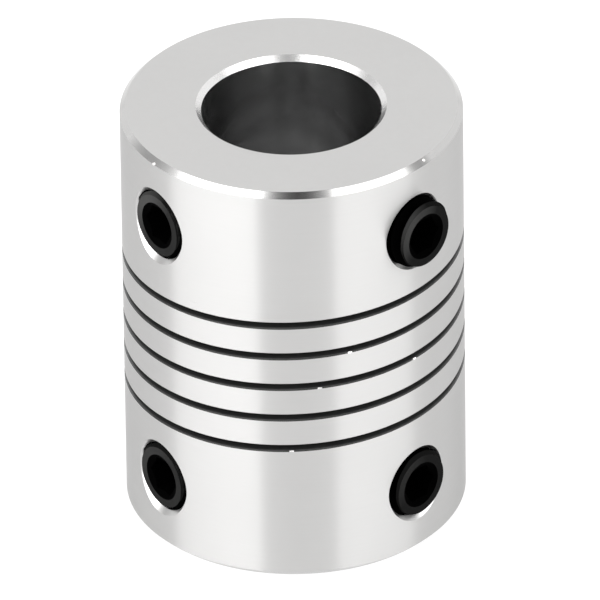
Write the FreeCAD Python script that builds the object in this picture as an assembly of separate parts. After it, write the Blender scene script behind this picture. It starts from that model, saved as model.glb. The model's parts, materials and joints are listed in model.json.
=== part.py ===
import FreeCAD, Part
import math
import os

# Flexible shaft coupling: one turned aluminium cylinder with a helical slit through its wall,
# and four set screws that grip the two shafts. Millimetres and degrees.
# It stands on its lower end face at z = 0, with its axis on +Z. The screws face -Y.

# Coupling body
body_diameter = 19.0
body_length = 25.0
bore_diameter = 10.0
outer_chamfer = 0.3
bore_chamfer = 0.3

# Helical slit: right hand, as wide along the axis as slit_width, cut through to the bore.
# It is centred on the length, and starts and ends at the back of the body.
slit_width = 0.4
slit_pitch = 2.0
slit_turns = 5.0
slit_start_direction = 90.0

# The slit is cut in sectors. Each takes its surface from heights on a square grid of points,
# and neighbours meet within seam_tolerance.
sectors_per_turn = 4
grid_rows = 8
grid_columns = 13
seam_tolerance = 0.0001

# Set screws: M4, hexagon socket, cup point. The thread itself is left plain here.
screw_diameter = 4.0
screw_length = 4.0
screw_face_diameter = 3.6
socket_across_flats = 2.0
socket_depth = 2.0
socket_mouth_diameter = 2.7
socket_drill_diameter = 1.8
point_diameter = 2.6
cup_diameter = 2.0
cone_angle = 120.0

# Where the screws sit: two in each hub, side by side about the front direction
front_direction = -90.0
screw_spread = 98.5
screw_inset = 4.25

# How far the face of each screw stands out of the wall. Below zero it is sunk.
upper_left_stand_out = -0.1
upper_right_stand_out = 0.75
lower_left_stand_out = -0.1
lower_right_stand_out = 0.2

# Screw holes
screw_clearance = 0.02
hole_countersink = 0.3

# Extra length of a cutter past the surface that it leaves through
cutter_overrun = 1.0

body_radius = body_diameter / 2
bore_radius = bore_diameter / 2
screw_radius = screw_diameter / 2
hole_radius = screw_radius + screw_clearance

Z_AXIS = FreeCAD.Vector(0, 0, 1)
X_AXIS = FreeCAD.Vector(1, 0, 0)
ORIGIN = FreeCAD.Vector(0, 0, 0)


def revolved(outline, axis):
    """Solid of revolution about axis, from a closed outline in the XZ plane."""
    points = [FreeCAD.Vector(x, 0, z) for x, z in outline]
    face = Part.Face(Part.makePolygon(points + points[:1]))
    return face.revolve(ORIGIN, axis, 360)


def cone_height(radius):
    """Depth of a drilled cone of this radius."""
    return radius / math.tan(math.radians(cone_angle / 2))


def turned_blank():
    """The bored cylinder, with both outer edges and both bore mouths chamfered."""
    outline = [
        (bore_radius + bore_chamfer, 0),
        (body_radius - outer_chamfer, 0),
        (body_radius, outer_chamfer),
        (body_radius, body_length - outer_chamfer),
        (body_radius - outer_chamfer, body_length),
        (bore_radius + bore_chamfer, body_length),
        (bore_radius, body_length - bore_chamfer),
        (bore_radius, bore_chamfer),
    ]
    return revolved(outline, Z_AXIS)


def slit_height(x, y):
    """Height of the right-hand helical surface over a point, zero on +X."""
    return slit_pitch * math.degrees(math.atan2(y, x)) / 360


def slit_sector():
    """One sector of the slit, centred on +X: a helical slab trimmed to a sector of a ring."""
    inner = bore_radius - cutter_overrun
    outer = body_radius + cutter_overrun
    sector_angle = 360 / sectors_per_turn
    half_turn = math.radians(sector_angle / 2)
    near = inner * math.cos(half_turn)
    reach = outer * math.sin(half_turn)
    rows = []
    for row in range(grid_rows):
        x = near + (outer - near) * row / (grid_rows - 1)
        across = [reach * (2 * column / (grid_columns - 1) - 1) for column in range(grid_columns)]
        rows.append([FreeCAD.Vector(x, y, slit_height(x, y) - slit_width / 2) for y in across])
    lower_side = Part.BSplineSurface()
    lower_side.interpolate(rows)
    slab = lower_side.toShape().extrude(Z_AXIS * slit_width)

    depth = slit_pitch
    wedge = Part.makeCylinder(outer, 2 * depth, Z_AXIS * -depth, Z_AXIS, sector_angle)
    wedge = wedge.cut(Part.makeCylinder(inner, 2 * depth, Z_AXIS * -depth))
    wedge.rotate(ORIGIN, Z_AXIS, -sector_angle / 2)
    return slab.common(wedge)


def slit_cutters():
    """All sectors of the slit, from its start at the back up round the body."""
    sector = slit_sector()
    start_height = (body_length - slit_turns * slit_pitch) / 2
    cutters = []
    for step in range(round(slit_turns * sectors_per_turn)):
        turns = (step + 0.5) / sectors_per_turn
        direction = slit_start_direction + 360 * turns
        cutters.append(placed(sector, 0, direction, start_height + slit_pitch * turns))
    return cutters


def screw_hole_cutter():
    """Hole for a set screw along +X, from inside the bore outwards, with its countersink."""
    start = bore_radius - screw_radius
    hole = Part.makeCylinder(
        hole_radius, body_radius + cutter_overrun - start, FreeCAD.Vector(start, 0, 0), X_AXIS
    )
    cone_start = body_radius - hole_countersink
    cone_length = hole_countersink + cutter_overrun
    countersink = Part.makeCone(
        hole_radius, hole_radius + cone_length, cone_length, FreeCAD.Vector(cone_start, 0, 0), X_AXIS
    )
    return hole.fuse(countersink)


def set_screw():
    """Set screw along +X with its outer face at x = 0: chamfered ends, socket and cup."""
    face_radius = screw_face_diameter / 2
    point_radius = point_diameter / 2
    cup_radius = cup_diameter / 2
    outline = [
        (0, 0),
        (0, face_radius),
        (face_radius - screw_radius, screw_radius),
        (screw_radius - point_radius - screw_length, screw_radius),
        (-screw_length, point_radius),
        (-screw_length, cup_radius),
        (cone_height(cup_radius) - screw_length, 0),
    ]
    return revolved(outline, X_AXIS).cut(socket_cutter())


def socket_cutter():
    """Hexagon socket open at x = 0, with a countersunk mouth and a drilled bottom."""
    corner_radius = socket_across_flats / math.sqrt(3)
    mouth_radius = socket_mouth_diameter / 2
    drill_radius = socket_drill_diameter / 2
    corners = []
    for side in range(6):
        turn = math.radians(60 * side)
        corners.append(
            FreeCAD.Vector(-socket_depth, corner_radius * math.cos(turn), corner_radius * math.sin(turn))
        )
    hexagon = Part.Face(Part.makePolygon(corners + corners[:1]))
    prism = hexagon.extrude(X_AXIS * (socket_depth + cutter_overrun))
    mouth = Part.makeCone(0, mouth_radius, cone_height(mouth_radius),
                          X_AXIS * -cone_height(mouth_radius), X_AXIS)
    bottom = Part.makeCone(0, drill_radius, cone_height(drill_radius),
                           X_AXIS * -(socket_depth + cone_height(drill_radius)), X_AXIS)
    return prism.fuse([mouth, bottom])


def placed(shape, distance, direction, height):
    """Copy of a shape made along +X, moved out from the axis and turned to a direction."""
    copy = shape.copy()
    copy.translate(FreeCAD.Vector(distance, 0, height))
    copy.rotate(ORIGIN, Z_AXIS, direction)
    return copy


def screw_places():
    """Name, direction, height and outer-face distance of each set screw."""
    left = front_direction - screw_spread / 2
    right = front_direction + screw_spread / 2
    lower = screw_inset
    upper = body_length - screw_inset
    return [
        ("set_screw_upper_left", left, upper, body_radius + upper_left_stand_out),
        ("set_screw_upper_right", right, upper, body_radius + upper_right_stand_out),
        ("set_screw_lower_left", left, lower, body_radius + lower_left_stand_out),
        ("set_screw_lower_right", right, lower, body_radius + lower_right_stand_out),
    ]


def coupling_body():
    """The blank with its slit and its four screw holes."""
    hole = screw_hole_cutter()
    holes = [placed(hole, 0, direction, height) for _, direction, height, _ in screw_places()]
    return turned_blank().cut(slit_cutters() + holes, seam_tolerance)


def main():
    os.makedirs("parts", exist_ok=True)
    nodes = {"coupling_body": coupling_body()}
    screw = set_screw()
    for name, direction, height, distance in screw_places():
        nodes[name] = placed(screw, distance, direction, height)
    for name, shape in nodes.items():
        shape.Solids[0].exportStep("parts/" + name + ".step")
        print(name, len(shape.Solids), shape.isValid(), round(shape.Volume, 3))


main()
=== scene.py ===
"""Flexible shaft coupling: a turned aluminium body with a helical slit, and four set screws.

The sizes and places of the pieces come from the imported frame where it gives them.
Everything is in metres, in the frame's own axes: +Z up along the bore, -Y to the front.
"""

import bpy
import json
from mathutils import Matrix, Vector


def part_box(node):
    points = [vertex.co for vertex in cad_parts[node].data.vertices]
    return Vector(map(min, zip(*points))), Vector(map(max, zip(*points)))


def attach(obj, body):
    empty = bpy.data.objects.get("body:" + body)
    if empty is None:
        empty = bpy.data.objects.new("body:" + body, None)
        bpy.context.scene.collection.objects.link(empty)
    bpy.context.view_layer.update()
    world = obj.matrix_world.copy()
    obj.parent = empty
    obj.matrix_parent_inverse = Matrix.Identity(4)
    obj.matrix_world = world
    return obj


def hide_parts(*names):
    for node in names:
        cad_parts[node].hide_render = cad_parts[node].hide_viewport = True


bl_info = {
    "name": "Flexible Shaft Coupling",
    "version": (1, 0, 0),
    "blender": (4, 5, 0),
    "location": "3D View > Sidebar > Coupling",
    "description": "Builds a one-piece slit shaft coupling with its four set screws",
    "category": "Add Mesh",
}

import json
import math

import bpy
import numpy as np
from bpy.props import FloatProperty, FloatVectorProperty, IntProperty, PointerProperty
from mathutils import Matrix, Vector

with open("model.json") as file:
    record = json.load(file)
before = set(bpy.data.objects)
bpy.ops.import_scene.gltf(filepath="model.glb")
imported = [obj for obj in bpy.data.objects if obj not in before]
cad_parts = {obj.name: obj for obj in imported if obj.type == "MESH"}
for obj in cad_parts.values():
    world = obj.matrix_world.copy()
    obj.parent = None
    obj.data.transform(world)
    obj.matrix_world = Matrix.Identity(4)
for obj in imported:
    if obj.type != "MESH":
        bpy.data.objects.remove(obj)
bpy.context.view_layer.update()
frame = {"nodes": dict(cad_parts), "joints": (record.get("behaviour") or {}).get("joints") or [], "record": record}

MM = 0.001
BODY = "coupling_body"
SCREWS = sorted(node for node in frame["nodes"] if node.startswith("set_screw_"))
WHITE = (1, 1, 1, 1)

# How far a cutter reaches past the surface that it leaves through
SLIT_OVERRUN = 0.2 * MM
HOLE_OVERRUN = 0.5 * MM

# A thread: of half its pitch, the share that is flat at the crest and the share of one flank
CREST_SHARE = 0.15
FLANK_SHARE = 0.65
RINGS_PER_PITCH = 16

# The ball that cuts a nick: bands from pole to pole, and facets round it
NICK_BANDS = 12
NICK_FACETS = 24

# A socket: the angle of its drilled cones, the turn from one flat to the next, and the radius at
# which a cone is closed by a fan
CONE_ANGLE = math.radians(120)
FLAT_TURN = math.radians(60)
POLE_RADIUS = 0.02 * MM

# How near a face lies to the surface that it belongs to, and the share of its normal that points
# the surface's way: all of it, or at least half
NEAR = 0.002 * MM
NEAR_CONE = 0.008 * MM
SQUARELY = 0.9
PARTLY = 0.5

# The axis's share of a chamfer's normal, and how far a face may be off it
CHAMFER_RISE = math.sqrt(0.5)
SLOPE_TOLERANCE = 0.01

# Edges that turn by more than this stay sharp
BODY_SHARP = math.radians(28)
SCREW_SHARP = math.radians(25)

body_low, body_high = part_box(BODY)
bore_mount = next(m for m in frame["record"]["mounts"] if m["name"] == "upper_bore")


def screw_place(node):
    """Body, outward direction, height and outer-face distance of a screw, from its frame node."""
    bodies = frame["record"]["behaviour"]["bodies"]
    body = next(name for name, nodes in bodies.items() if node in nodes)
    joint = next(j for j in frame["joints"] if j["child"] == body)
    outward = Vector(joint["axis"]).normalized()
    low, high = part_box(node)
    points = values_of(frame["nodes"][node].data.vertices, "co", 3)
    return body, outward, (low.z + high.z) / 2, float((points @ np.array(outward)).max())


# Properties

class BodySizes(bpy.types.PropertyGroup):
    """Sizes of the turned body and its slit."""
    diameter: FloatProperty(
        name="Body diameter", description="Outside diameter of the body",
        default=body_high.x - body_low.x, unit="LENGTH")
    length: FloatProperty(
        name="Body length", description="Length of the body along its bore",
        default=body_high.z - body_low.z, unit="LENGTH")
    bore_diameter: FloatProperty(
        name="Bore diameter", description="Diameter of the through bore",
        default=2 * bore_mount["dims"]["r_mm"] * MM, unit="LENGTH")
    outer_chamfer: FloatProperty(
        name="Outer chamfer", description="Width of the chamfer round each end",
        default=0.3 * MM, unit="LENGTH")
    bore_chamfer: FloatProperty(
        name="Bore chamfer", description="Width of the chamfer at each bore mouth",
        default=0.3 * MM, unit="LENGTH")
    slit_width: FloatProperty(
        name="Slit width", description="Width of the slit along the axis",
        default=0.4 * MM, unit="LENGTH")
    slit_pitch: FloatProperty(
        name="Slit pitch", description="Rise of the slit in one turn",
        default=2.0 * MM, unit="LENGTH")
    slit_turns: FloatProperty(
        name="Slit turns", description="Turns that the slit makes round the body", default=5.0)
    slit_start: FloatProperty(
        name="Slit start", description="Direction of the slit's lower end",
        default=math.radians(90), unit="ROTATION", subtype="ANGLE")
    slit_edge: FloatProperty(
        name="Upper lip", description="Width of the broken edge along the slit's upper lip",
        default=0.015 * MM, unit="LENGTH")
    lower_edge: FloatProperty(
        name="Lower lip", description="Width of the broken edge along the slit's lower lip",
        default=0.055 * MM, unit="LENGTH")
    nick_radius: FloatProperty(
        name="Nick radius", description="Radius of a nick in the upper outer chamfer",
        default=0.1 * MM, unit="LENGTH")
    nick_turns: FloatVectorProperty(
        name="Nick places", description="Turn of each nick from the front towards the right",
        default=(math.radians(-49.8), math.radians(54.7)), size=2)
    nick_lifts: FloatVectorProperty(
        name="Nick lifts",
        description="Place of each nick on the chamfer: 0 at its lower edge, 1 at its upper",
        default=(0.1, 0.6), size=2)
    burr_edge: FloatProperty(
        name="Burr edge", description="Width that the lower lip's edge grows to where a burr came off",
        default=0.075 * MM, unit="LENGTH")
    burr_length: FloatProperty(
        name="Burr length", description="Length along the slit of a place where a burr came off",
        default=0.12 * MM, unit="LENGTH")
    burr_turns: FloatVectorProperty(
        name="Burr places", description="Where burrs came off, in turns from the slit's lower end",
        default=(0.507, 2.533, 2.633, 3.562), size=4)
    hole_clearance: FloatProperty(
        name="Hole clearance", description="Gap between a screw's crest and the crest in its hole",
        default=0.02 * MM, unit="LENGTH")
    countersink: FloatProperty(
        name="Countersink", description="Depth of the countersink at each screw hole",
        default=0.3 * MM, unit="LENGTH")
    side_break: FloatProperty(
        name="Side break", description="Least depth of the countersink below the wall beside it",
        default=0.13 * MM, unit="LENGTH")
    segments: IntProperty(
        name="Segments", description="Facets round the body", default=480, min=96)


class ScrewSizes(bpy.types.PropertyGroup):
    """Sizes of the set screws and of their thread."""
    diameter: FloatProperty(
        name="Thread diameter", description="Outside diameter of the thread",
        default=4.0 * MM, unit="LENGTH")
    length: FloatProperty(
        name="Screw length", description="Length from the face to the cup point",
        default=4.0 * MM, unit="LENGTH")
    pitch: FloatProperty(
        name="Thread pitch", description="Travel in one turn", default=0.7 * MM, unit="LENGTH")
    thread_depth: FloatProperty(
        name="Thread depth", description="Depth of a thread valley below its crest",
        default=0.38 * MM, unit="LENGTH")
    hole_thread_depth: FloatProperty(
        name="Hole thread depth", description="Depth of a valley in the wall of a screw hole",
        default=0.15 * MM, unit="LENGTH")
    face_diameter: FloatProperty(
        name="Face diameter", description="Diameter of the flat outer face",
        default=3.6 * MM, unit="LENGTH")
    socket_flats: FloatProperty(
        name="Socket size", description="Hexagon socket, across its flats",
        default=2.0 * MM, unit="LENGTH")
    socket_depth: FloatProperty(
        name="Socket depth", description="Depth of the hexagon", default=2.0 * MM, unit="LENGTH")
    socket_mouth: FloatProperty(
        name="Socket mouth", description="Diameter of the countersink at the socket's mouth",
        default=2.7 * MM, unit="LENGTH")
    drill_diameter: FloatProperty(
        name="Socket drill", description="Diameter of the drilled cone at the socket's bottom",
        default=1.8 * MM, unit="LENGTH")
    point_diameter: FloatProperty(
        name="Point diameter", description="Outside diameter of the cup point",
        default=2.6 * MM, unit="LENGTH")
    cup_diameter: FloatProperty(
        name="Cup diameter", description="Diameter of the cup's rim", default=2.0 * MM, unit="LENGTH")
    # The turn at which each screw's face carries its lightest painted highlight
    painted_highlight_turn: FloatProperty(
        name="Sheen", description="Where a face is rubbed lightest, from its right anticlockwise",
        default=math.radians(140), subtype="ANGLE")
    segments: IntProperty(
        name="Segments", description="Facets round a screw", default=120, min=24)


class Finishes(bpy.types.PropertyGroup):
    """Colours and gloss of the metals."""
    aluminium: FloatVectorProperty(
        name="Aluminium", description="Colour of the turned aluminium",
        default=(0.640, 0.636, 0.630), subtype="COLOR")
    bore: FloatVectorProperty(
        name="Bore", description="Colour of the dull reamed bore",
        default=(0.675, 0.675, 0.675), subtype="COLOR")
    # The bore's mouths: the aluminium painted lighter, as painted light
    mouth: FloatVectorProperty(
        name="Bore mouth", description="Colour of the bore's chamfered mouths",
        default=(0.86, 0.855, 0.85), subtype="COLOR")
    # The nicks and burr places are real wear, painted lighter than the aluminium as painted glints
    edge: FloatVectorProperty(
        name="Broken edge", description="Colour of the nicks and where burrs came off",
        default=(0.90, 0.89, 0.88), subtype="COLOR")
    # The slit's broken lips: aluminium painted near black, as painted shade
    lip: FloatVectorProperty(
        name="Slit lips", description="Colour of the broken edges along the slit",
        default=(0.05, 0.05, 0.05), subtype="COLOR")
    slit: FloatVectorProperty(
        name="Slit", description="Colour of the sawn walls at the slit's lips",
        default=(0.60, 0.60, 0.60), subtype="COLOR")
    # Deep in the slit its walls are painted darker, as painted shade
    slit_painted_shade: FloatProperty(
        name="Slit shade", description="Share of that colour that is left deep in the slit",
        default=0.3)
    painted_shade_depth: FloatProperty(
        name="Shade depth", description="How far inwards the slit's walls reach their darkest tone",
        default=0.18 * MM, unit="LENGTH")
    tapped: FloatVectorProperty(
        name="Tapped hole", description="Colour of the threads in the screw holes",
        default=(0.66, 0.655, 0.65), subtype="COLOR")
    # The screws' faces and bevels: black oxide, lightened in part as a painted highlight
    oxide: FloatVectorProperty(
        name="Black oxide", description="Colour of the blackened steel where a tool rubbed it",
        default=(0.058, 0.058, 0.057), subtype="COLOR")
    oxide_gloss: FloatProperty(
        name="Oxide gloss", description="Specular level of the rubbed faces", default=0.03)
    # The thread and socket: black oxide, painted darker still as shade
    matt_oxide_and_painted_shade: FloatVectorProperty(
        name="Matt oxide", description="Colour of the thread and socket of a screw",
        default=(0.0015, 0.0015, 0.0016), subtype="COLOR")
    matt_gloss: FloatProperty(
        name="Matt gloss", description="Specular level of the thread and socket", default=0.008)
    edge_tint: FloatProperty(
        name="Edge tint", description="Share of the light that the wall returns at a glancing angle",
        default=0.78)
    wall_roughness: FloatProperty(
        name="Wall roughness", description="Roughness of the turned wall", default=0.29)
    face_roughness: FloatProperty(
        name="Face roughness", description="Roughness of the faced ends", default=0.42)
    chamfer_roughness: FloatProperty(
        name="Chamfer roughness", description="Roughness of the cut chamfers", default=0.14)
    sink_roughness: FloatProperty(
        name="Countersink roughness", description="Roughness of the countersinks", default=0.3)
    mouth_roughness: FloatProperty(
        name="Mouth roughness", description="Roughness of the bore's chamfered mouths", default=0.27)


class StageSizes(bpy.types.PropertyGroup):
    """Camera, floor, softboxes, the narrow lamps beside them, and the cards."""
    distance: FloatProperty(
        name="Camera distance", description="From the camera to the middle of the part",
        default=1.0, unit="LENGTH")
    azimuth: FloatProperty(
        name="Azimuth", description="Turn of the camera from the front towards the right",
        default=math.radians(3.65), subtype="ANGLE")
    elevation: FloatProperty(
        name="Elevation", description="Height of the camera above the horizon",
        default=math.radians(32.18), subtype="ANGLE")
    roll: FloatProperty(
        name="Roll", description="Tilt of the picture, anticlockwise",
        default=0.01334, subtype="ANGLE")
    lens: FloatProperty(
        name="Focal length", description="Focal length in millimetres", default=1078.1)
    aim_right: FloatProperty(
        name="Aim right", description="How far right of the part's middle the camera aims",
        default=0.341 * MM, unit="LENGTH")
    aim_up: FloatProperty(
        name="Aim up", description="How far above the part's middle the camera aims",
        default=-0.248 * MM, unit="LENGTH")
    floor_half: FloatProperty(
        name="Floor half size", description="Half the side of the floor", default=4.0, unit="LENGTH")
    panel_distance: FloatProperty(
        name="Softbox distance", description="From the part to each softbox",
        default=0.35, unit="LENGTH")
    panel_height: FloatProperty(
        name="Softbox height", description="Height of each softbox", default=0.9, unit="LENGTH")
    left_turn: FloatProperty(
        name="Left softbox", description="Turn of the left softbox from the camera's side",
        default=math.radians(-51.3), subtype="ANGLE")
    left_width: FloatProperty(
        name="Left width", description="Width of the left softbox", default=0.4, unit="LENGTH")
    left_radiance: FloatProperty(
        name="Left radiance", description="Brightness of the left softbox, where white is 1",
        default=2.9)
    right_turn: FloatProperty(
        name="Right softbox", description="Turn of the right softbox from the camera's side",
        default=math.radians(52), subtype="ANGLE")
    right_width: FloatProperty(
        name="Right width", description="Width of the right softbox", default=0.35, unit="LENGTH")
    right_radiance: FloatProperty(
        name="Right radiance", description="Brightness of the right softbox, where white is 1",
        default=2.1)
    card_distance: FloatProperty(
        name="Card distance", description="From the part to each card", default=0.3, unit="LENGTH")
    dark_card: FloatVectorProperty(
        name="Dark card", description="Turn from the camera's side, half width, bottom, top and tone",
        default=(math.radians(4), 0.18, 0.30, 0.80, 0.03), size=5)
    left_card: FloatVectorProperty(
        name="Left card", description="Turn from the camera's side, half width, bottom, top and tone",
        default=(math.radians(-107), 0.115, 0.05, 0.32, 0.40), size=5)
    right_card: FloatVectorProperty(
        name="Right card", description="Turn from the camera's side, half width, bottom, top and tone",
        default=(math.radians(97), 0.053, 0.05, 0.30, 0.33), size=5)
    footprint: FloatProperty(
        name="Footprint", description="Radius of the floor that the part shades, below its lower end",
        default=9.15 * MM, unit="LENGTH")
    wing_turn: FloatProperty(
        name="Wing turn", description="Turn of the narrow lamp beside each softbox",
        default=math.radians(83.5), subtype="ANGLE")
    wing_width: FloatProperty(
        name="Wing width", description="Width of each narrow lamp", default=0.045, unit="LENGTH")
    wing_height: FloatProperty(
        name="Wing height", description="Height of each narrow lamp", default=0.2, unit="LENGTH")
    wing_rise: FloatProperty(
        name="Wing rise", description="Height of each narrow lamp's middle",
        default=0.27, unit="LENGTH")
    wing_radiance: FloatProperty(
        name="Wing radiance", description="Brightness of each narrow lamp, where white is 1",
        default=2.0)
    floor_glow: FloatProperty(
        name="Floor glow",
        description="Brightness of the open floor in reflections, besides what it scatters",
        default=0.575)
    backdrop_glow: FloatProperty(
        name="Backdrop glow",
        description="Brightness of the open floor itself, besides what it scatters",
        default=0.75)
    floor_tone: FloatProperty(
        name="Floor tone", description="Share of the light that the floor scatters", default=0.3)


# Mesh helpers

def values_of(items, name, width=1, number=float):
    """One property of each item of a mesh as an array, with a row for each where it has a width."""
    values = np.zeros(len(items) * width, dtype=number)
    items.foreach_get(name, values)
    return values.reshape(-1, width) if width > 1 else values


def grid_quads(rows, columns, wrap_rows, wrap_columns):
    """Four corner indices of each cell of a grid of points, joined round where a direction wraps."""
    row = np.arange(rows if wrap_rows else rows - 1)[:, None]
    column = np.arange(columns if wrap_columns else columns - 1)[None, :]
    next_row = (row + 1) % rows
    next_column = (column + 1) % columns
    corners = [row * columns + column, row * columns + next_column,
               next_row * columns + next_column, next_row * columns + column]
    return np.stack(np.broadcast_arrays(*corners), axis=-1).reshape(-1, 4)


def signed_volume(points, faces):
    """Volume inside the faces: the sum of the fans' tetrahedra from the origin."""
    total = 0.0
    for face in faces:
        a, b, c = (points[face[:, i]] for i in range(3))
        total += np.einsum("ij,ij->", a, np.cross(b, c)) / 6
        for i in range(3, face.shape[1]):
            d = points[face[:, i]]
            e = points[face[:, i - 1]]
            total += np.einsum("ij,ij->", a, np.cross(e, d)) / 6
    return total


def closed_mesh(name, points, faces):
    """Mesh of a closed surface, turned so that its faces point outwards."""
    if signed_volume(points, faces) < 0:
        faces = [face[:, ::-1] for face in faces]
    mesh = bpy.data.meshes.new(name)
    mesh.from_pydata(points.tolist(), [], [corner for face in faces for corner in face.tolist()])
    mesh.update()
    return mesh


def ring_stack(along, radius):
    """Closed surface round the X axis, from arrays with a row for each ring.

    Their columns are directions: the point of ring i in direction t is (along[i, t],
    radius[i, t] cos t, radius[i, t] sin t). Each end is closed by a fan to a point on the axis.
    """
    rings, count = radius.shape
    turn = 2 * np.pi * np.arange(count) / count
    points = np.stack([along, radius * np.cos(turn), radius * np.sin(turn)], axis=-1).reshape(-1, 3)
    poles = [[along[0].mean(), 0, 0], [along[-1].mean(), 0, 0]]
    points = np.vstack([points, poles])
    first = np.arange(count)
    last = first + (rings - 1) * count
    ahead = (first + 1) % count
    start_fan = np.stack([np.full(count, rings * count), ahead, first], axis=-1)
    end_pole = np.full(count, rings * count + 1)
    end_fan = np.stack([end_pole, last, ahead + (rings - 1) * count], axis=-1)
    return points, [grid_quads(rings, count, False, True), start_fan, end_fan]


def thread_valley(along, turn, pitch):
    """Depth of a right-hand thread, from 0 on its crest to 1 in its valley.

    A triangle wave of the distance along the axis less the turn's share of the pitch, with its crest
    and its valley cut flat.
    """
    phase = (along / pitch - turn / (2 * np.pi)) % 1.0
    wave = np.abs(2 * phase - 1)
    return np.clip((wave - CREST_SHARE) / FLANK_SHARE, 0, 1)


def placed(points, outward, distance, height):
    """Points made round the X axis, set with X along outward and their origin at that distance."""
    out = np.array(outward)
    side = np.cross([0, 0, 1], out)
    basis = np.stack([out, side, [0, 0, 1]])
    return (points + [distance, 0, 0]) @ basis + [0, 0, height]


def new_piece(name, mesh):
    """An object at the origin for a finished mesh."""
    piece = bpy.data.objects.new(name, mesh)
    bpy.context.scene.collection.objects.link(piece)
    return piece


# The body

def blank_surface(sizes):
    """The bored cylinder: the outline of its wall carried round the Z axis.

    The point of outline corner i in direction t is (r[i] cos t, r[i] sin t, z[i]).
    """
    outer = sizes.diameter / 2
    bore = sizes.bore_diameter / 2
    top = sizes.length
    outline = np.array([
        (bore + sizes.bore_chamfer, 0),
        (outer - sizes.outer_chamfer, 0),
        (outer, sizes.outer_chamfer),
        (outer, top - sizes.outer_chamfer),
        (outer - sizes.outer_chamfer, top),
        (bore + sizes.bore_chamfer, top),
        (bore, top - sizes.bore_chamfer),
        (bore, sizes.bore_chamfer),
    ])
    turn = 2 * np.pi * np.arange(sizes.segments) / sizes.segments
    r = outline[:, :1]
    z = np.broadcast_to(outline[:, 1:], (len(outline), sizes.segments))
    points = np.stack([r * np.cos(turn), r * np.sin(turn), z], axis=-1).reshape(-1, 3)
    return points, [grid_quads(len(outline), sizes.segments, True, True)]


def slit_middle(sizes, turns):
    """Direction and height of the slit's middle line, this many turns from its lower end."""
    start = (sizes.length - sizes.slit_turns * sizes.slit_pitch) / 2
    return sizes.slit_start + 2 * np.pi * turns, start + sizes.slit_pitch * turns


def slit_surface(sizes):
    """The slit's cutter: an outline in the radial plane, carried round and up a right-hand helix.

    Outline point i is (r[i], h[i]); after turn t it lies at (r[i] cos t, r[i] sin t, h[i] + pitch t).
    The outline flares at the wall and at the bore, which leaves a small broken edge on each lip. The
    lower lip's grows towards the front, with the square of how far the point faces it. It grows
    further at each burr place, as the exponential of minus the square of the distance along the slit
    over half the burr's length.
    """
    outer = sizes.diameter / 2
    bore = sizes.bore_diameter / 2
    steps = round(sizes.slit_turns * sizes.segments) + 1
    turns = np.linspace(0, sizes.slit_turns, steps)[:, None]
    turn, rise = slit_middle(sizes, turns)
    away = (turns - np.array(sizes.burr_turns)) * 2 * np.pi * outer / (sizes.burr_length / 2)
    burr = np.exp(-away ** 2).max(axis=1, keepdims=True)
    even = np.ones_like(turns)
    plain = sizes.slit_edge * even
    front = np.maximum(-np.sin(turn), 0)
    broken = plain + (sizes.lower_edge - plain) * front ** 2
    worn = broken + (sizes.burr_edge - broken) * burr
    lip = sizes.slit_width / 2 * even
    inside = (bore - SLIT_OVERRUN) * even
    outside = (outer + SLIT_OVERRUN) * even
    flare = lip + plain + SLIT_OVERRUN
    r = np.hstack([inside, bore + plain, outer - worn, outside,
                   outside, outer - plain, bore + plain, inside])
    h = np.hstack([-flare, -lip, -lip, -lip - worn - SLIT_OVERRUN, flare, lip, lip, flare])
    points = np.stack([r * np.cos(turn), r * np.sin(turn), h + rise], axis=-1).reshape(-1, 3)
    corners = r.shape[1]
    start_cap = np.arange(corners)[None, ::-1]
    end_cap = np.arange(corners)[None, :] + (steps - 1) * corners
    return points, [grid_quads(steps, corners, False, True), start_cap, end_cap]


def burr_points(sizes):
    """Places on the slit's lower lip where a burr came off."""
    turn, rise = slit_middle(sizes, np.array(sizes.burr_turns))
    outer = sizes.diameter / 2
    lip = rise - sizes.slit_width / 2
    return np.stack([outer * np.cos(turn), outer * np.sin(turn), lip], axis=-1)


def cone_start(sizes, crest, aside):
    """How far from the body's axis a countersink starts, for a share of the crest's radius aside."""
    outer = sizes.diameter / 2
    wall = np.sqrt(outer ** 2 - (crest * aside) ** 2)
    return np.minimum(outer - sizes.countersink, wall - sizes.side_break)


def hole_surface(sizes, screw, crest):
    """A screw hole's cutter along X: a threaded cylinder that opens into a countersink at the wall.

    Its radius at distance x and turn t is the larger of the thread's and the countersink cone's. The
    cone starts at the countersink's depth below the wall's nearest line, or deeper where the wall
    falls away at the hole's sides. The thread runs out over the last pitch below it.
    """
    start = sizes.bore_diameter / 2 - screw.diameter / 2
    end = sizes.diameter / 2 + HOLE_OVERRUN
    x = np.arange(start, end, screw.pitch / RINGS_PER_PITCH)[:, None]
    turn = 2 * np.pi * np.arange(screw.segments)[None, :] / screw.segments
    cone_from = cone_start(sizes, crest, np.cos(turn))
    fading = np.clip((cone_from - x) / screw.pitch, 0, 1)
    thread = crest + screw.hole_thread_depth * fading * thread_valley(x, turn, screw.pitch)
    cone = crest + x - cone_from
    radius = np.maximum(thread, cone)
    return ring_stack(np.broadcast_to(x, radius.shape), radius)


def nick_surface(sizes):
    """A small ball about the origin: its ring at angle a lies at radius cos a, radius sin a wide."""
    angle = np.pi * np.arange(1, NICK_BANDS)[:, None] / NICK_BANDS
    radius = sizes.nick_radius * np.ones((1, NICK_FACETS))
    return ring_stack(radius * np.cos(angle), radius * np.sin(angle))


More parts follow.
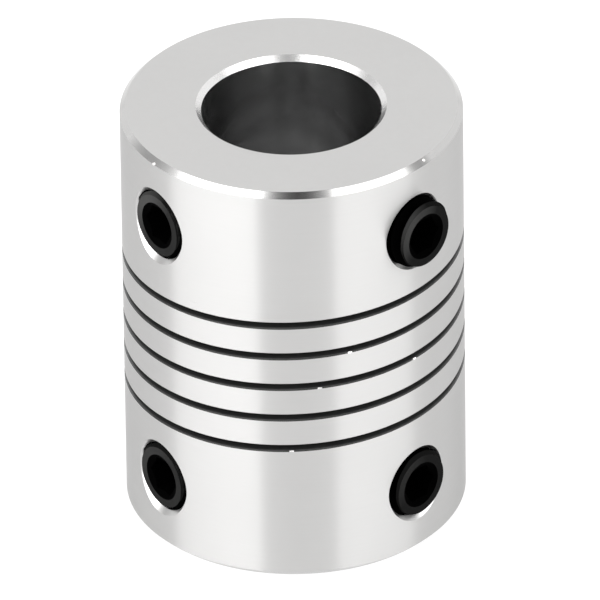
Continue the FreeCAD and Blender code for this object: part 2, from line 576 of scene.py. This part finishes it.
def cut(blank, tools):
    """The blank's mesh with the tools taken away from it."""
    body = new_piece("blank", blank)
    for tool in tools:
        cutter = new_piece("cutter", tool)
        boolean = body.modifiers.new("cut", "BOOLEAN")
        boolean.operation = "DIFFERENCE"
        boolean.solver = "MANIFOLD"
        boolean.object = cutter
        bpy.context.view_layer.update()
        result = bpy.data.meshes.new_from_object(
            body.evaluated_get(bpy.context.evaluated_depsgraph_get()))
        body.modifiers.clear()
        body.data = result
        bpy.data.objects.remove(cutter)
        if not result.polygons:
            raise RuntimeError("Nothing is left of the blank after the cut with " + tool.name)
    bpy.data.objects.remove(body)
    return result


WALL, FACE, CHAMFER, BORE, SLIT, HOLE, COUNTERSINK, EDGE, MOUTH, LIP = range(10)


def face_kinds(mesh, sizes, crest, places):
    """Which surface each face of the cut body belongs to, from where it lies and how it faces."""
    centre = values_of(mesh.polygons, "center", 3)
    normal = values_of(mesh.polygons, "normal", 3)
    r = np.hypot(centre[:, 0], centre[:, 1])
    z = centre[:, 2]
    radial = (centre[:, :2] * normal[:, :2]).sum(axis=1) / r
    outer = sizes.diameter / 2
    bore = sizes.bore_diameter / 2
    from_end = np.minimum(z, sizes.length - z)
    rise = np.abs(normal[:, 2])
    kinds = np.full(len(centre), SLIT)
    # The slit's broken lips are painted near black, as painted shade
    at_lip = (r > outer - sizes.burr_edge) & (rise < SQUARELY)
    kinds[at_lip & (np.abs(radial) > PARTLY)] = LIP
    # Burr places and nicks are real wear, painted lighter as glints
    for point in burr_points(sizes):
        close = np.linalg.norm(centre - point, axis=1) < sizes.burr_length
        kinds[close & at_lip] = EDGE
    nicked = 2 * sizes.outer_chamfer
    kinds[(from_end < nicked) & (r > outer - nicked)] = EDGE
    for outward, height in places:
        out = np.array(outward)
        aside = np.linalg.norm(np.cross(centre - [0, 0, height], out), axis=1)
        along = centre @ out
        level = centre @ np.cross([0, 0, 1], out)
        start = cone_start(sizes, crest, level / np.maximum(aside, NEAR))
        past_cone = np.abs(aside - crest - along + start)
        kinds[(aside < crest + sizes.countersink + NEAR) & (along > 0)] = HOLE
        kinds[(past_cone < NEAR_CONE) & (along > start)] = COUNTERSINK
    kinds[(r > outer - NEAR) & (radial > SQUARELY)] = WALL
    kinds[(r < bore + NEAR) & (radial < -SQUARELY)] = BORE
    kinds[from_end < NEAR] = FACE
    in_outer = (from_end < sizes.outer_chamfer) & (r > outer - sizes.outer_chamfer)
    in_bore = (from_end < sizes.bore_chamfer) & (r < bore + sizes.bore_chamfer)
    sloped = (np.abs(rise - CHAMFER_RISE) < SLOPE_TOLERANCE) & (from_end > NEAR)
    kinds[in_outer & sloped] = CHAMFER
    kinds[in_bore & sloped] = MOUTH
    return kinds


def true_normals(mesh, kinds, sizes):
    """Corner normals of the turned surfaces as their formulas give them; the rest stay as smoothed.

    A wall's normal is the direction away from the axis, a bore's is towards it, and a chamfer's is
    halfway between that and the axis.
    """
    normals = values_of(mesh.corner_normals, "vector", 3, np.float32)
    kind = np.repeat(kinds, values_of(mesh.polygons, "loop_total", number=np.int32))
    vertex = values_of(mesh.loops, "vertex_index", number=np.int32)
    at = values_of(mesh.vertices, "co", 3)[vertex]
    r = np.hypot(at[:, 0], at[:, 1])
    away = np.stack([at[:, 0] / r, at[:, 1] / r, np.zeros(len(r))], axis=-1)
    up = np.where(at[:, 2:] > sizes.length / 2, 1.0, -1.0) * np.array([[0, 0, 1]])
    middle = (sizes.diameter + sizes.bore_diameter) / 4
    sloped = np.where(r > middle, 1.0, -1.0)[:, None] * away + up
    turned = {WALL: away, BORE: -away, FACE: up, CHAMFER: sloped, MOUTH: sloped}
    for which, direction in turned.items():
        chosen = kind == which
        normals[chosen] = direction[chosen] / np.linalg.norm(direction[chosen], axis=1)[:, None]
    return normals


# The screws

def screw_surface(screw):
    """A set screw along X with its face at x = 0, as rings from the cup point to the socket's bottom.

    Along the flank the radius is the thread's, held inside the cones of the two chamfers. In the
    socket the radius is the hexagon's: half the flats over the cosine of the turn from a flat's middle.
    """
    turn = 2 * np.pi * np.arange(screw.segments)[None, :] / screw.segments
    flat = np.ones_like(turn)
    outer = screw.diameter / 2
    face = screw.face_diameter / 2
    point = screw.point_diameter / 2
    cup = screw.cup_diameter / 2
    mouth = screw.socket_mouth / 2
    drill = screw.drill_diameter / 2
    slope = math.tan(CONE_ANGLE / 2)

    step = screw.pitch / RINGS_PER_PITCH
    x = np.arange(step - screw.length, -step / 2, step)[:, None]
    thread = outer - screw.thread_depth * thread_valley(x, turn, screw.pitch)
    flank = np.minimum(thread, np.minimum(face - x, point + x + screw.length))
    hexagon = screw.socket_flats / 2 / np.cos(turn % FLAT_TURN - FLAT_TURN / 2)
    rows = [
        (cup / slope - screw.length, POLE_RADIUS),
        (-screw.length, cup),
        (-screw.length, point),
        (x, flank),
        (0.0, face),
        (0.0, mouth),
        ((hexagon - mouth) / slope, hexagon),
        (-screw.socket_depth, hexagon),
        (-screw.socket_depth, drill),
        (-screw.socket_depth - drill / slope, POLE_RADIUS),
    ]
    along = np.vstack([x_row * flat for x_row, _ in rows])
    radius = np.vstack([radius_row * flat for _, radius_row in rows])
    return ring_stack(along, radius)


def screw_rims(screw, mesh, outward, distance, height):
    """For each face of a placed screw: 1 on its flat outer ring, 2 on the bevel, 0 elsewhere."""
    out = np.array(outward)
    centre = values_of(mesh.polygons, "center", 3) - [0, 0, height]
    along = centre @ out - distance
    aside = np.linalg.norm(np.cross(centre, out), axis=1)
    rim = (along > (screw.face_diameter - screw.diameter) / 2) & (aside > screw.socket_mouth / 2)
    bevel = rim & (aside > screw.face_diameter / 2)
    return rim.astype(np.int32) + bevel


# Materials

# Noise: features in a metre, and levels of detail
CLOUD_SCALE = 260.0
STAIN_SCALE = 900.0
FINE_SCALE = 5000.0
OXIDE_SCALE = 6000.0
SMOOTH = 2.0
DETAILED = 3.0

# Turned metal: its darker tone, the cloud's share of the mottling, and how far lines roughen it
TURNED_TONE = 0.94
CLOUD_SHARE = 0.6
LINE_ROUGHNESS = 0.05

# Dull metal and steel: the darker tone of grains, how far they roughen it, a sawn wall's roughness
GRAIN_TONE = 0.85
GRAIN_ROUGHNESS = 0.12
SAWN_ROUGHNESS = 0.45

# Blackened steel: its darkest tone, its stains' share, how much darker a metre east is as painted shade,
# how much the painted highlight lightens at the floor and for a metre of height, and the depth of its grain
OXIDE_TONE = 0.08
STAIN_SHARE = 0.2
PAINTED_SHADE_EAST = 15.0
PAINTED_HIGHLIGHT_AT_FLOOR = 0.07
PAINTED_HIGHLIGHT_UPWARDS = 30.0
OXIDE_DEPTH = 0.004 * MM

# Turn of the gloss from along the tool lines to across them, in turns
ACROSS = 0.25

# Places of a Mix node's colour sockets
MIX_FROM, MIX_TO, MIX_RESULT = 6, 7, 2


class Term:
    """An output socket in a node tree, which Python's sums turn into Math nodes."""

    def __init__(self, finish, socket):
        self.finish = finish
        self.socket = socket

    def _maths(self, operation, first, second):
        return self.finish.node("ShaderNodeMath", {"operation": operation}, {0: first, 1: second})

    def __add__(self, other):
        return self._maths("ADD", self, other)

    def __radd__(self, other):
        return self._maths("ADD", other, self)

    def __sub__(self, other):
        return self._maths("SUBTRACT", self, other)

    def __rsub__(self, other):
        return self._maths("SUBTRACT", other, self)

    def __mul__(self, other):
        return self._maths("MULTIPLY", self, other)

    def __rmul__(self, other):
        return self._maths("MULTIPLY", other, self)


class Finish:
    """A node tree under construction, of a material or of the world."""

    def __init__(self, owner):
        owner.use_nodes = True
        self.tree = owner.node_tree
        self.tree.nodes.clear()

    def node(self, kind, settings=None, inputs=None, output=0):
        """A new node: its settings are made first, then its sockets get their values or links."""
        made = self.tree.nodes.new(kind)
        for name, value in (settings or {}).items():
            setattr(made, name, value)
        for name, value in (inputs or {}).items():
            if isinstance(value, Term):
                self.tree.links.new(value.socket, made.inputs[name])
            else:
                made.inputs[name].default_value = value
        return Term(self, made.outputs[output]) if made.outputs else None

    def split(self, term, names):
        """The named outputs of the node that a term comes from."""
        return [Term(self, term.socket.node.outputs[name]) for name in names]

    def coordinates(self):
        """Position on the piece, in metres."""
        return self.node("ShaderNodeTexCoord", output="Object")

    def axes(self, names):
        """Position on the piece along the named axes, in metres."""
        return self.split(self.node("ShaderNodeSeparateXYZ", {}, {0: self.coordinates()}), names)

    def noise(self, scale, detail, stretch=(1, 1, 1)):
        """Noise from 0 to 1, of scale features in a metre times the stretch along each axis."""
        place = self.node("ShaderNodeVectorMath", {"operation": "MULTIPLY"},
                          {0: self.coordinates(), 1: stretch})
        return self.node("ShaderNodeTexNoise", {}, {"Vector": place, "Scale": scale, "Detail": detail})

    def tone(self, colour, darker, share):
        """A colour, moved towards its darker tone by a share from 0 to 1."""
        low = tuple(channel * darker for channel in colour) + (1,)
        return self.node("ShaderNodeMix", {"data_type": "RGBA"},
                         {"Factor": share, MIX_FROM: tuple(colour) + (1,), MIX_TO: low},
                         MIX_RESULT)

    def bump(self, height, distance):
        """A normal from a height from 0 to 1 and the distance that it stands for."""
        return self.node("ShaderNodeBump", {}, {"Height": height, "Distance": distance})

    def surface(self, inputs):
        """Ends the tree with a Principled shader of these inputs."""
        shader = self.node("ShaderNodeBsdfPrincipled", {}, inputs)
        self.node("ShaderNodeOutputMaterial", {}, {"Surface": shader})


def turned_aluminium(name, colour, roughness, stretch, depth, anisotropy=0.0, edge_tint=1.0):
    """Turned aluminium: even colour, with fine tool lines, which are noise drawn out along the cut.

    The lines catch the light, and the anisotropy draws the gloss out across them.
    """
    material = bpy.data.materials.new(name)
    finish = Finish(material)
    lines = finish.noise(1.0, DETAILED, stretch)
    cloud = finish.noise(CLOUD_SCALE, SMOOTH)
    mottling = cloud * CLOUD_SHARE + lines * (1 - CLOUD_SHARE)
    finish.surface({
        "Base Color": finish.tone(colour, TURNED_TONE, mottling),
        "Metallic": 1.0,
        "Roughness": lines * LINE_ROUGHNESS + (roughness - LINE_ROUGHNESS / 2),
        "Anisotropic": anisotropy,
        "Anisotropic Rotation": ACROSS,
        "Specular Tint": (edge_tint, edge_tint, edge_tint, 1),
        "Normal": finish.bump(lines, depth),
    })
    return material


def dull_metal(name, colour, roughness, scale=FINE_SCALE):
    """A dull cut surface: metal with an even grain."""
    material = bpy.data.materials.new(name)
    finish = Finish(material)
    grains = finish.noise(scale, DETAILED)
    finish.surface({
        "Base Color": finish.tone(colour, GRAIN_TONE, grains),
        "Metallic": 1.0,
        "Roughness": grains * GRAIN_ROUGHNESS + roughness,
    })
    return material


def sawn_metal(name, lip, deep, radius, depth):
    """A sawn wall: light at the lip, which lies at the radius, and darker inwards as painted shade.

    The share of the deep tone is the fall of the squared radius over its fall at that depth.
    """
    material = bpy.data.materials.new(name)
    finish = Finish(material)
    east, north = finish.axes("XY")
    inwards = (radius ** 2 - east * east - north * north) * (1 / (2 * radius * depth))
    share = finish.node("ShaderNodeClamp", {}, {"Value": inwards})
    grains = finish.noise(FINE_SCALE, DETAILED)
    finish.surface({
        "Base Color": finish.tone(lip, deep, share),
        "Metallic": 1.0,
        "Roughness": grains * GRAIN_ROUGHNESS + SAWN_ROUGHNESS,
    })
    return material


def black_oxide(name, colour, gloss, roughness, dark, worn):
    """Blackened steel, moved towards its darkest tone by the share dark.

    Where the attribute of its painted highlight is high it is lighter by the share worn, which grows
    with height, so that the upper screws are painted lighter. The colour darkens a little towards +X,
    as painted shade.
    """
    material = bpy.data.materials.new(name)
    finish = Finish(material)
    stain = finish.noise(STAIN_SCALE, DETAILED)
    fine = finish.noise(OXIDE_SCALE, SMOOTH)
    east, height = finish.axes("XZ")
    painted_highlight = finish.node("ShaderNodeAttribute", {"attribute_name": "painted_highlight"}, output="Fac")
    # Painted highlight: lighter where its attribute is high, and more so higher up
    lighter = painted_highlight * (height * PAINTED_HIGHLIGHT_UPWARDS + PAINTED_HIGHLIGHT_AT_FLOOR) * worn
    # Painted shade darker towards +X, with real random stains, and the share dark
    darker = east * PAINTED_SHADE_EAST + stain * STAIN_SHARE + dark
    share = finish.node("ShaderNodeClamp", {}, {"Value": darker - lighter})
    finish.surface({
        "Base Color": finish.tone(colour, OXIDE_TONE, share),
        "Metallic": 0.0,
        "Specular IOR Level": gloss,
        "Roughness": stain * GRAIN_ROUGHNESS + roughness,
        "Normal": finish.bump(fine, OXIDE_DEPTH),
    })
    return material


# Operators

# The floor's depth below the part, the cards' roughness, the camera's sensor in millimetres, and the
# nearest and farthest distance that it sees
FLOOR_DROP = 0.01 * MM
CARD_ROUGHNESS = 0.9
SENSOR_WIDTH = 36.0
CLIP_RANGE = (0.01, 100.0)


class COUPLING_OT_body(bpy.types.Operator):
    """Makes the turned body with its slit and screw holes"""
    bl_idname = "coupling.body"
    bl_label = "Coupling Body"

    def execute(self, context):
        sizes = context.scene.coupling_body
        screw = context.scene.coupling_screws
        finishes = context.scene.coupling_finishes
        crest = screw.diameter / 2 + sizes.hole_clearance
        places = [screw_place(node)[1:3] for node in SCREWS]
        hole_points, hole_faces = hole_surface(sizes, screw, crest)
        tools = [closed_mesh("slit", *slit_surface(sizes))]
        for outward, height in places:
            tools.append(closed_mesh("hole", placed(hole_points, outward, 0, height), hole_faces))
        nick_points, nick_faces = nick_surface(sizes)
        for turn, lift in zip(sizes.nick_turns, sizes.nick_lifts):
            outward = (math.sin(turn), -math.cos(turn), 0)
            inset = sizes.outer_chamfer * lift
            height = sizes.length - sizes.outer_chamfer + inset
            nick = placed(nick_points, outward, sizes.diameter / 2 - inset, height)
            tools.append(closed_mesh("nick", nick, nick_faces))
        mesh = cut(closed_mesh("blank", *blank_surface(sizes)), tools)
        mesh.name = "turned_body"
        mesh.materials.clear()
        for material in self.materials(finishes):
            mesh.materials.append(material)
        kinds = face_kinds(mesh, sizes, crest, places)
        mesh.polygons.foreach_set("material_index", kinds.astype(np.int32))
        mesh.shade_smooth()
        mesh.set_sharp_from_angle(angle=BODY_SHARP)
        mesh.normals_split_custom_set(true_normals(mesh, kinds, sizes))
        piece = new_piece("turned_body", mesh)
        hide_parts(BODY)
        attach(piece, "body")
        return {"FINISHED"}

    @staticmethod
    def materials(finishes):
        """One material for each kind of surface, in the order of their numbers.

        The tool lines have this many features in a metre along each axis.
        """
        around = (300.0, 300.0, 9000.0)
        radial = (2600.0, 2600.0, 300.0)
        aluminium = finishes.aluminium
        return [
            turned_aluminium("turned_wall", aluminium, finishes.wall_roughness, around,
                             depth=0.0001 * MM, anisotropy=1.0, edge_tint=finishes.edge_tint),
            turned_aluminium("faced_end", aluminium, finishes.face_roughness, radial,
                             depth=0.0004 * MM),
            turned_aluminium("cut_chamfer", aluminium, finishes.chamfer_roughness, radial,
                             depth=0.0002 * MM),
            dull_metal("reamed_bore", finishes.bore, roughness=0.13, scale=800.0),
            # The slit's walls, painted darker inwards as shade
            sawn_metal("sawn_slit_painted_shade", finishes.slit, finishes.slit_painted_shade, body_high.x,
                       finishes.painted_shade_depth),
            dull_metal("tapped_hole", finishes.tapped, roughness=0.2),
            turned_aluminium("countersink", aluminium, finishes.sink_roughness, radial,
                             depth=0.0002 * MM),
            # Nicks and burr places, painted lighter as glints
            dull_metal("broken_edge_painted_glint", finishes.edge, roughness=0.3),
            # The bore's mouths, painted lighter than the aluminium as painted light
            turned_aluminium("bore_mouth_painted_light", finishes.mouth, finishes.mouth_roughness, radial,
                             depth=0.0002 * MM),
            # The slit's broken lips, painted near black as shade
            dull_metal("slit_lip_painted_shade", finishes.lip, roughness=0.45),
        ]


class COUPLING_OT_screws(bpy.types.Operator):
    """Makes the four set screws in their places"""
    bl_idname = "coupling.screws"
    bl_label = "Set Screws"

    def execute(self, context):
        screw = context.scene.coupling_screws
        finishes = context.scene.coupling_finishes
        # Painted shade: the thread and socket near black, and the bevel black but for its painted highlight
        oxides = [
            black_oxide("matt_oxide_and_painted_shade", finishes.matt_oxide_and_painted_shade, finishes.matt_gloss,
                        roughness=0.7, dark=0.8, worn=0.0),
            black_oxide("oxide_painted_highlight", finishes.oxide, finishes.oxide_gloss,
                        roughness=0.32, dark=0.85, worn=1.0),
            black_oxide("bevel_oxide_painted_shade_and_highlight", finishes.oxide, finishes.matt_gloss,
                        roughness=0.5, dark=1.3, worn=1.2),
        ]
        points, faces = screw_surface(screw)
        turn = np.arctan2(points[:, 2], points[:, 1])
        # A painted highlight on each screw's face, lightest at one turn round it
        painted_highlight = np.maximum(np.cos(turn - screw.painted_highlight_turn), 0)
        for node in SCREWS:
            body, outward, height, distance = screw_place(node)
            mesh = closed_mesh(node, placed(points, outward, distance, height), faces)
            mesh.attributes.new("painted_highlight", "FLOAT", "POINT").data.foreach_set("value", painted_highlight)
            for material in oxides:
                mesh.materials.append(material)
            rims = screw_rims(screw, mesh, outward, distance, height)
            mesh.polygons.foreach_set("material_index", rims)
            mesh.shade_smooth()
            mesh.set_sharp_from_angle(angle=SCREW_SHARP)
            piece = new_piece(node.replace("set_screw", "threaded_screw"), mesh)
            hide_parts(node)
            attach(piece, body)
        return {"FINISHED"}


class COUPLING_OT_stage(bpy.types.Operator):
    """Makes the floor, the lights, the world and the camera"""
    bl_idname = "coupling.stage"
    bl_label = "Stage"

    def execute(self, context):
        stage = context.scene.coupling_stage
        self.floor(stage)
        self.world(context.scene)
        tall = (stage.panel_height, stage.panel_height / 2)
        self.panel("left_softbox", stage, stage.left_turn, stage.left_width, *tall,
                   stage.left_radiance)
        self.panel("right_softbox", stage, stage.right_turn, stage.right_width, *tall,
                   stage.right_radiance)
        wing = (stage.wing_width, stage.wing_height, stage.wing_rise, stage.wing_radiance)
        self.panel("left_wing", stage, -stage.wing_turn, *wing)
        self.panel("right_wing", stage, stage.wing_turn, *wing)
        for name in ("dark_card", "left_card", "right_card"):
            self.card(name, stage, *getattr(stage, name))
        self.camera(context.scene, stage)
        context.scene.view_settings.view_transform = "Standard"
        return {"FINISHED"}

    @staticmethod
    def flat(name, corners):
        """A flat four-cornered stage piece."""
        mesh = bpy.data.meshes.new(name)
        mesh.from_pydata([tuple(c) for c in corners], [], [(0, 1, 2, 3)])
        piece = new_piece(name, mesh)
        return piece

    def floor(self, stage):
        """A pale floor that keeps the part's shadow. It glows beside the part, and under its bore as a
        painted pool of light.
        """
        half = stage.floor_half
        below = -FLOOR_DROP
        piece = self.flat("floor", [(-half, -half, below), (half, -half, below),
                                    (half, half, below), (-half, half, below)])
        material = bpy.data.materials.new("pale_floor")
        finish = Finish(material)
        east, north = finish.axes("XY")
        out = east * east + north * north
        bore = bpy.context.scene.coupling_body.bore_diameter / 2
        beside = finish.node("ShaderNodeMath", {"operation": "GREATER_THAN"},
                             {0: out, 1: stage.footprint ** 2})
        # Painted light: the floor under the bore glows, though the part shades it
        painted_light_under_bore = finish.node("ShaderNodeMath", {"operation": "LESS_THAN"},
                                 {0: out, 1: bore ** 2})
        camera, glossy, transmission = finish.split(
            finish.node("ShaderNodeLightPath"),
            ["Is Camera Ray", "Is Glossy Ray", "Is Transmission Ray"])
        seen = camera * stage.backdrop_glow + (glossy + transmission) * stage.floor_glow
        glow = finish.node("ShaderNodeEmission", {}, {"Color": seen * (beside + painted_light_under_bore)})
        tone = stage.floor_tone
        matt = finish.node("ShaderNodeBsdfDiffuse", {}, {"Color": (tone, tone, tone, 1)})
        both = finish.node("ShaderNodeAddShader", {}, {0: glow, 1: matt})
        finish.node("ShaderNodeOutputMaterial", {}, {"Surface": both})
        piece.data.materials.append(material)

    @staticmethod
    def world(scene):
        """White light from all sides."""
        scene.world = bpy.data.worlds.new("white_tent")
        finish = Finish(scene.world)
        light = finish.node("ShaderNodeBackground", {}, {"Color": WHITE, "Strength": 1.0})
        finish.node("ShaderNodeOutputWorld", {}, {"Surface": light})

    @staticmethod
    def direction(stage, aside):
        """Level direction from the part, turned from the camera's side towards the right."""
        turn = stage.azimuth + aside
        return Vector((math.sin(turn), -math.cos(turn), 0))

    def panel(self, name, stage, aside, width, height, rise, radiance):
        """An upright softbox that faces the part, with its middle at this rise.

        Its energy is its radiance times pi times its area.
        """
        towards = self.direction(stage, aside)
        lamp = bpy.data.lights.new(name, "AREA")
        lamp.shape = "RECTANGLE"
        lamp.size = width
        lamp.size_y = height
        lamp.energy = radiance * math.pi * width * height
        holder = bpy.data.objects.new(name, lamp)
        holder.location = towards * stage.panel_distance + Vector((0, 0, rise))
        holder.rotation_euler = towards.to_track_quat("Z", "Y").to_euler()
        holder.visible_camera = False
        bpy.context.scene.collection.objects.link(holder)

    def card(self, name, stage, aside, half, bottom, top, tone):
        """An upright card that only reflections show. It darkens what the chamfers return.

        Its tone rises to white with the square of the distance from its middle line.
        """
        towards = self.direction(stage, aside)
        across = Vector((0, 0, 1)).cross(towards)
        centre = towards * stage.card_distance
        low = Vector((0, 0, bottom))
        high = Vector((0, 0, top))
        piece = self.flat(name, [centre - across * half + low, centre + across * half + low,
                                 centre + across * half + high, centre - across * half + high])
        material = bpy.data.materials.new(name)
        finish = Finish(material)
        east, north = finish.axes("XY")
        off = east * (across.x / half) + north * (across.y / half)
        finish.surface({"Base Color": finish.tone(WHITE[:3], tone, 1 - off * off),
                        "Roughness": CARD_ROUGHNESS})
        piece.data.materials.append(material)
        piece.visible_camera = False
        piece.visible_diffuse = False
        piece.visible_shadow = False

    @staticmethod
    def camera(scene, stage):
        """Looks at the part's middle from the photograph's side, with the picture's own tilt."""
        side = Vector((math.cos(stage.azimuth), math.sin(stage.azimuth), 0))
        level = Vector((math.sin(stage.azimuth), -math.cos(stage.azimuth), 0))
        back = level * math.cos(stage.elevation) + Vector((0, 0, math.sin(stage.elevation)))
        up = back.cross(side)
        middle = (Vector(body_low) + Vector(body_high)) / 2
        place = middle + back * stage.distance
        aim = middle + side * stage.aim_right + up * stage.aim_up
        back = (place - aim).normalized()
        side = up.cross(back).normalized()
        up = back.cross(side)
        data = bpy.data.cameras.new("camera")
        data.lens = stage.lens
        data.sensor_width = SENSOR_WIDTH
        data.clip_start, data.clip_end = CLIP_RANGE
        camera = bpy.data.objects.new("camera", data)
        turned = Matrix((side, up, back)).transposed() @ Matrix.Rotation(-stage.roll, 3, "Z")
        camera.matrix_world = Matrix.Translation(place) @ turned.to_4x4()
        scene.collection.objects.link(camera)
        scene.camera = camera


class COUPLING_PT_panel(bpy.types.Panel):
    """Lists the pieces in the sidebar"""
    bl_idname = "COUPLING_PT_panel"
    bl_label = "Flexible Shaft Coupling"
    bl_space_type = "VIEW_3D"
    bl_region_type = "UI"
    bl_category = "Coupling"

    def draw(self, context):
        for operator in OPERATORS:
            self.layout.operator(operator.bl_idname)
        for name, _ in GROUPS:
            group = getattr(context.scene, name)
            box = self.layout.box()
            for field in group.__annotations__:
                box.prop(group, field)


OPERATORS = (COUPLING_OT_body, COUPLING_OT_screws, COUPLING_OT_stage)
GROUPS = (("coupling_body", BodySizes), ("coupling_screws", ScrewSizes),
          ("coupling_finishes", Finishes), ("coupling_stage", StageSizes))
CLASSES = (*[group for _, group in GROUPS], *OPERATORS, COUPLING_PT_panel)


def register():
    for made in CLASSES:
        bpy.utils.register_class(made)
    for name, group in GROUPS:
        setattr(bpy.types.Scene, name, PointerProperty(type=group))


def unregister():
    for name, _ in GROUPS:
        delattr(bpy.types.Scene, name)
    for made in reversed(CLASSES):
        bpy.utils.unregister_class(made)


def main():
    register()
    bpy.ops.coupling.body()
    bpy.ops.coupling.screws()
    bpy.ops.coupling.stage()
    bpy.context.view_layer.update()


if __name__ == "__main__":
    main()
